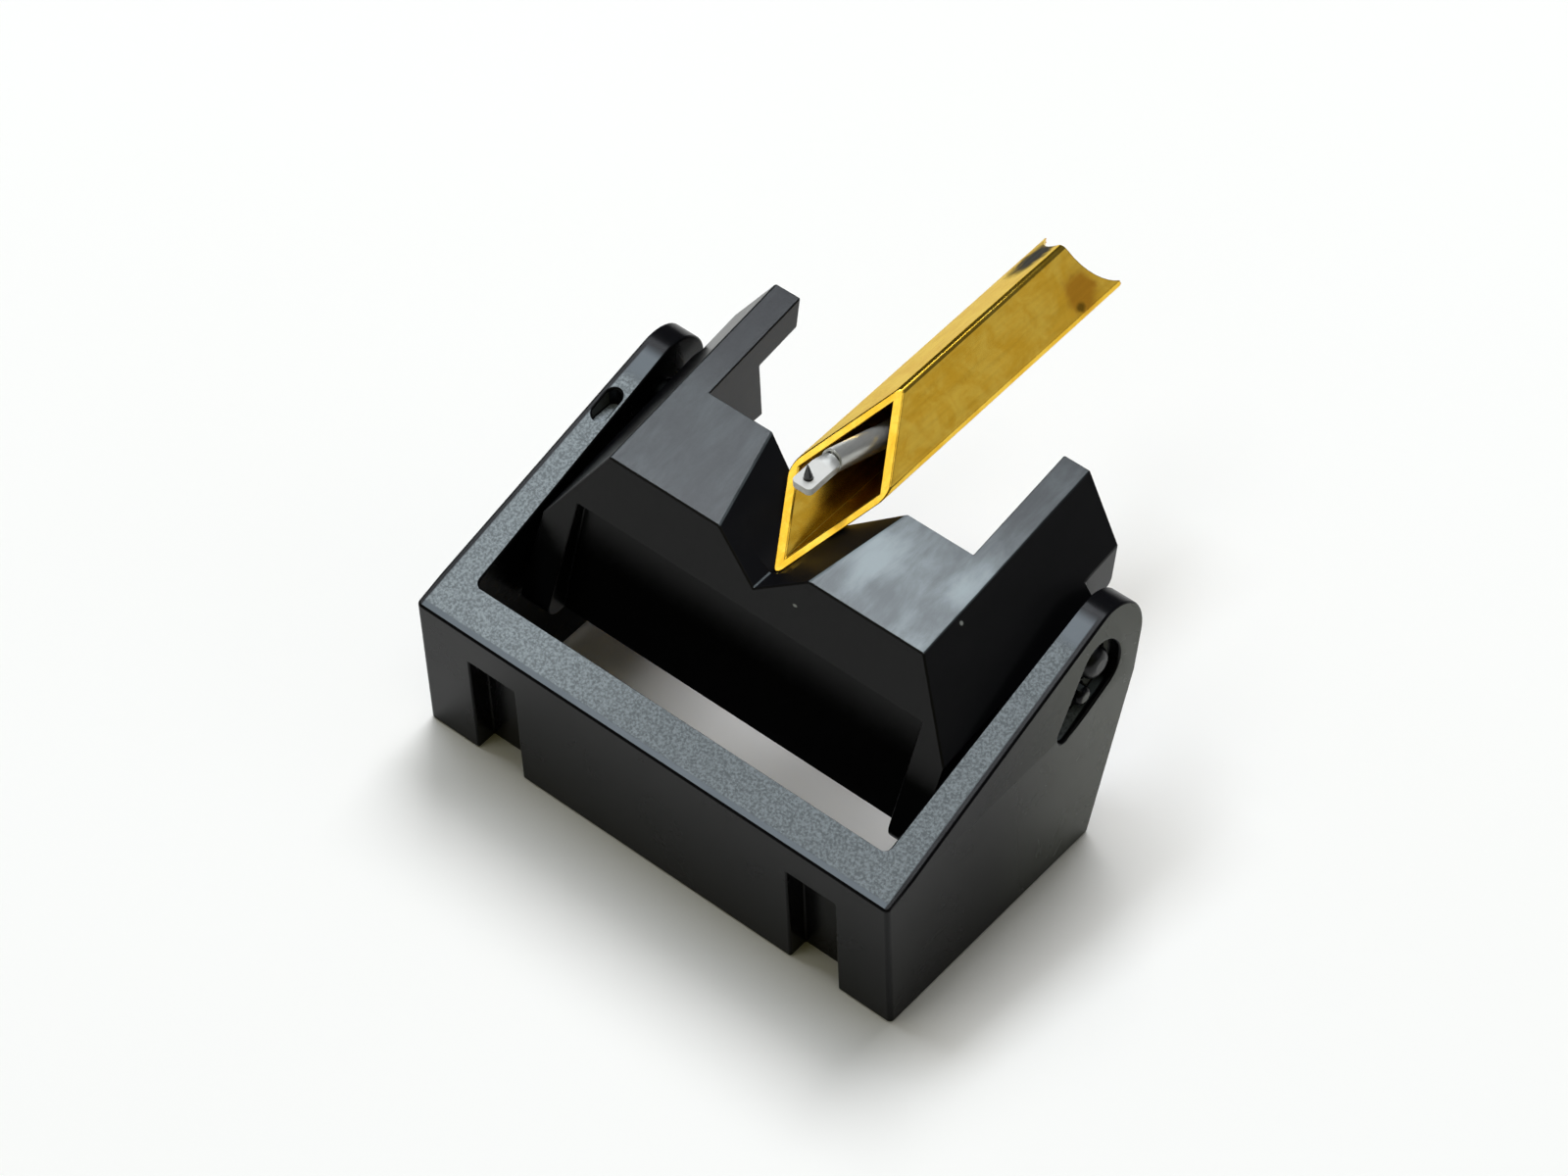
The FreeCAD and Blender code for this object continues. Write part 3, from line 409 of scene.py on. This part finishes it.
def make_metal(name, tones, gloss, stretch, line_mm):
    """A bare metal with fine lines: two close tones and a roughness that follow the marks of its making.

    Such marks are about 0.02 mm apart; they are drawn at line_mm, which is coarser, so that they show.
    """
    material, tree, output = new_material(name)
    place = add_node(tree, "ShaderNodeTexCoord").outputs["Object"]
    along = add_node(tree, "ShaderNodeMapping", None, {"Vector": place, "Scale": stretch})
    lines = add_node(tree, "ShaderNodeTexNoise", None, {
        "Vector": along.outputs["Vector"], "Scale": per_metre(line_mm), "Detail": 3.0, "Roughness": 0.6})
    colour = add_node(tree, "ShaderNodeMix", COLOURS, {
        "Factor": lines.outputs["Fac"], COLOUR_A: linear(tones[0]), COLOUR_B: linear(tones[1])})
    roughness = add_node(tree, "ShaderNodeMapRange", None, {
        "Value": lines.outputs["Fac"], "From Min": 0.3, "From Max": 0.7,
        "To Min": gloss[0], "To Max": gloss[1]})
    bump = add_node(tree, "ShaderNodeBump", None, {
        "Strength": 0.15, "Distance": 0.005 * MM, "Height": lines.outputs["Fac"]})
    shader = add_node(tree, "ShaderNodeBsdfPrincipled", None, {
        "Base Color": colour.outputs[COLOUR_OUT], "Metallic": 1.0, "Roughness": roughness.outputs["Result"],
        "Normal": bump.outputs["Normal"]})
    tree.links.new(shader.outputs["BSDF"], output.inputs["Surface"])
    return material


def make_diamond():
    """Polished diamond, nearly black because it is small and set in a dark bond: sharp bright glints."""
    material, tree, output = new_material("diamond_polished")
    place = add_node(tree, "ShaderNodeTexCoord").outputs["Object"]
    bond = add_node(tree, "ShaderNodeTexNoise", None, {
        "Vector": place, "Scale": per_metre(0.08), "Detail": 2.0})
    colour = add_node(tree, "ShaderNodeMix", COLOURS, {
        "Factor": bond.outputs["Fac"], COLOUR_A: linear("#0b0a0c"), COLOUR_B: linear("#231e22")})
    shader = add_node(tree, "ShaderNodeBsdfPrincipled", None, {
        "Base Color": colour.outputs[COLOUR_OUT], "Roughness": 0.12, "IOR": 2.42, "Specular IOR Level": 0.15})
    tree.links.new(shader.outputs["BSDF"], output.inputs["Surface"])
    return material


def make_rubber():
    """Moulded butyl rubber: a dull black with a fine bloom."""
    material, tree, output = new_material("butyl_rubber_moulded")
    place = add_node(tree, "ShaderNodeTexCoord").outputs["Object"]
    greying = add_node(tree, "ShaderNodeTexNoise", None, {
        "Vector": place, "Scale": per_metre(0.15), "Detail": 4.0, "Roughness": 0.7})
    colour = add_node(tree, "ShaderNodeMix", COLOURS, {
        "Factor": greying.outputs["Fac"], COLOUR_A: linear("#141414"), COLOUR_B: linear("#2b2b2b")})
    bump = add_node(tree, "ShaderNodeBump", None, {
        "Strength": 0.3, "Distance": 0.01 * MM, "Height": greying.outputs["Fac"]})
    shader = add_node(tree, "ShaderNodeBsdfPrincipled", None, {
        "Base Color": colour.outputs[COLOUR_OUT], "Roughness": 0.7, "IOR": 1.5,
        "Normal": bump.outputs["Normal"]})
    tree.links.new(shader.outputs["BSDF"], output.inputs["Surface"])
    return material


def rescale(piece, factor):
    """Scales a selected piece about the origin and applies the scale to its mesh."""
    piece.scale = (factor, factor, factor)
    bpy.ops.object.transform_apply(location=False, rotation=False, scale=True)


def eased_copy(node, name, body, material, ease_mm):
    """A merged copy of a CAD node, with its sharp edges eased as the real ones are. It stands for it."""
    piece = bpy.data.objects.new(name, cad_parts[node].data.copy())
    bpy.context.scene.collection.objects.link(piece)
    select_only(piece)
    # The edges are worked in millimetres, because in metres the small faces count for nothing in the normals
    rescale(piece, 1 / MM)
    bpy.ops.mesh.customdata_custom_splitnormals_clear()
    bpy.ops.object.mode_set(mode="EDIT")
    bpy.ops.mesh.select_mode(type="EDGE")
    bpy.ops.mesh.select_all(action="SELECT")
    bpy.ops.mesh.remove_doubles(threshold=MERGE_MM)
    bpy.ops.mesh.dissolve_limited(angle_limit=FLAT_ANGLE)
    bpy.ops.mesh.select_all(action="DESELECT")
    bpy.ops.mesh.edges_select_sharp(sharpness=SHARP_ANGLE)
    bpy.ops.mesh.bevel(offset=ease_mm, segments=EASE_STEPS, affect="EDGES", clamp_overlap=False)
    bpy.ops.object.mode_set(mode="OBJECT")
    bpy.ops.object.shade_smooth_by_angle(angle=SMOOTH_ANGLE)
    # The large faces set the normals, so that they stay flat up to their eased edges
    flat = piece.modifiers.new("flat_faces", "WEIGHTED_NORMAL")
    flat.weight = 100
    flat.keep_sharp = True
    flat.thresh = 0.003
    bpy.ops.object.modifier_apply(modifier=flat.name)
    rescale(piece, MM)
    piece.data.materials.clear()
    piece.data.materials.append(material)
    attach(piece, body)
    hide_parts(node)


def dress_node(node, material):
    """Gives a CAD node that stays as it is its better material."""
    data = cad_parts[node].data
    for i in range(len(data.materials)):
        data.materials[i] = material


def make_floor():
    """A pale matt table top that takes the object's shadow."""
    bpy.ops.object.select_all(action="DESELECT")
    bpy.ops.mesh.primitive_plane_add(size=FLOOR_SIZE, location=(0, 0, 0))
    floor = bpy.context.active_object
    floor.name = "floor"
    material, tree, output = new_material("table_white_matt_laminate")
    place = add_node(tree, "ShaderNodeTexCoord").outputs["Object"]
    mottle = add_node(tree, "ShaderNodeTexNoise", None, {
        "Vector": place, "Scale": per_metre(30.0), "Detail": 2.0})
    colour = add_node(tree, "ShaderNodeMix", COLOURS, {
        "Factor": mottle.outputs["Fac"], COLOUR_A: linear("#f7f7f4"), COLOUR_B: linear("#fafaf8")})
    matt = add_node(tree, "ShaderNodeBsdfDiffuse", None, {"Color": colour.outputs[COLOUR_OUT]})
    tree.links.new(matt.outputs["BSDF"], output.inputs["Surface"])
    floor.data.materials.append(material)


def make_lamp(name, place, size, power, colour, glints):
    """A soft area lamp aimed at the object; without glints it lights and shades but isn't mirrored."""
    bpy.ops.object.light_add(type="AREA", location=place)
    lamp = bpy.context.active_object
    lamp.name = name
    lamp.data.shape = "RECTANGLE"
    lamp.data.size, lamp.data.size_y = size
    lamp.data.energy = power
    lamp.data.color = linear(colour)[:3]
    lamp.visible_glossy = glints
    lamp.rotation_mode = "QUATERNION"
    lamp.rotation_quaternion = (Vector(LAMP_AIM) - Vector(place)).to_track_quat("-Z", "Y")


def make_world():
    """A dim room, darker towards the horizon: warm walls in front, a cooler light from behind."""
    world = bpy.data.worlds.new("dim_room")
    bpy.context.scene.world = world
    world.use_nodes = True
    tree = world.node_tree
    tree.nodes.clear()
    way = add_node(tree, "ShaderNodeSeparateXYZ", None, {
        "Vector": add_node(tree, "ShaderNodeTexCoord").outputs["Generated"]})
    level = add_node(tree, "ShaderNodeMapRange", SOFT_STEP, {
        "Value": way.outputs["Z"], "From Min": 0.1, "From Max": 0.9, "To Min": 0.04, "To Max": 0.15})
    rear = add_node(tree, "ShaderNodeMapRange", SOFT_STEP, {
        "Value": way.outputs["Y"], "From Min": -0.3, "From Max": 0.4})
    walls = add_node(tree, "ShaderNodeMix", COLOURS, {
        "Factor": rear.outputs["Result"], COLOUR_A: linear("#f6ec9c"), COLOUR_B: linear("#e6eeff")})
    sky = add_node(tree, "ShaderNodeBackground", None, {
        "Color": walls.outputs[COLOUR_OUT], "Strength": level.outputs["Result"]})
    output = add_node(tree, "ShaderNodeOutputWorld")
    tree.links.new(sky.outputs["Background"], output.inputs["Surface"])


def make_camera():
    """The photograph's viewpoint, with its slight roll."""
    data = bpy.data.cameras.new("photo_camera")
    data.sensor_fit = "HORIZONTAL"
    data.sensor_width = SENSOR_WIDTH
    data.lens = CAMERA_LENS
    data.clip_start = NEAREST
    data.clip_end = FARTHEST
    camera = bpy.data.objects.new("photo_camera", data)
    bpy.context.scene.collection.objects.link(camera)
    turn, lift, roll = (math.radians(v) for v in (CAMERA_AZIMUTH, CAMERA_ELEVATION, CAMERA_ROLL))
    back = Vector((math.sin(turn) * math.cos(lift), -math.cos(turn) * math.cos(lift), math.sin(lift)))
    right = (-back).cross(Vector((0, 0, 1))).normalized()
    up = right.cross(-back)
    across = right * math.cos(roll) + up * math.sin(roll)
    upward = up * math.cos(roll) - right * math.sin(roll)
    axes = Matrix((across, upward, back)).transposed().to_4x4()
    camera.matrix_world = Matrix.Translation(CAMERA_PLACE) @ axes
    bpy.context.scene.camera = camera


def main():
    bpy.context.scene.view_settings.view_transform = "Standard"
    eased_copy("stylus_grip", "grip_moulding", "grip", make_grip_plastic(), GRIP_EASE)
    eased_copy("stylus_guard", "guard_moulding", "guard", make_guard_plastic(), GUARD_EASE)
    eased_copy("shank_tube", "gold_tube", "grip", make_gold_plate(), TUBE_EASE)
    eased_copy("cantilever", "needle_beam", "beam", make_beam_aluminium(), BEAM_EASE)
    dress_node("diamond_tip", make_diamond())
    dress_node("suspension_bearing", make_rubber())
    # Ground alloy, a dull grey with short lines
    dress_node("magnet", make_metal(
        "magnet_alloy_ground", ("#6d6e70", "#9b9c9d"), (0.3, 0.5), (1.0, 0.3, 1.0), 0.1))
    # Drawn steel, a bright grey with long lines
    dress_node("tie_wire", make_metal(
        "steel_wire_drawn", ("#b5b6b8", "#dcdcdc"), (0.2, 0.35), (1.0, 0.1, 1.0), 0.04))
    # Turned brass, a warm yellow with small tool marks
    dress_node("anchor_plug", make_metal(
        "brass_turned", ("#b98f3c", "#d9b25a"), (0.2, 0.35), (1.0, 1.0, 1.0), 0.08))
    make_floor()
    make_world()
    for lamp in LAMPS:
        make_lamp(*lamp)
    make_camera()


main()
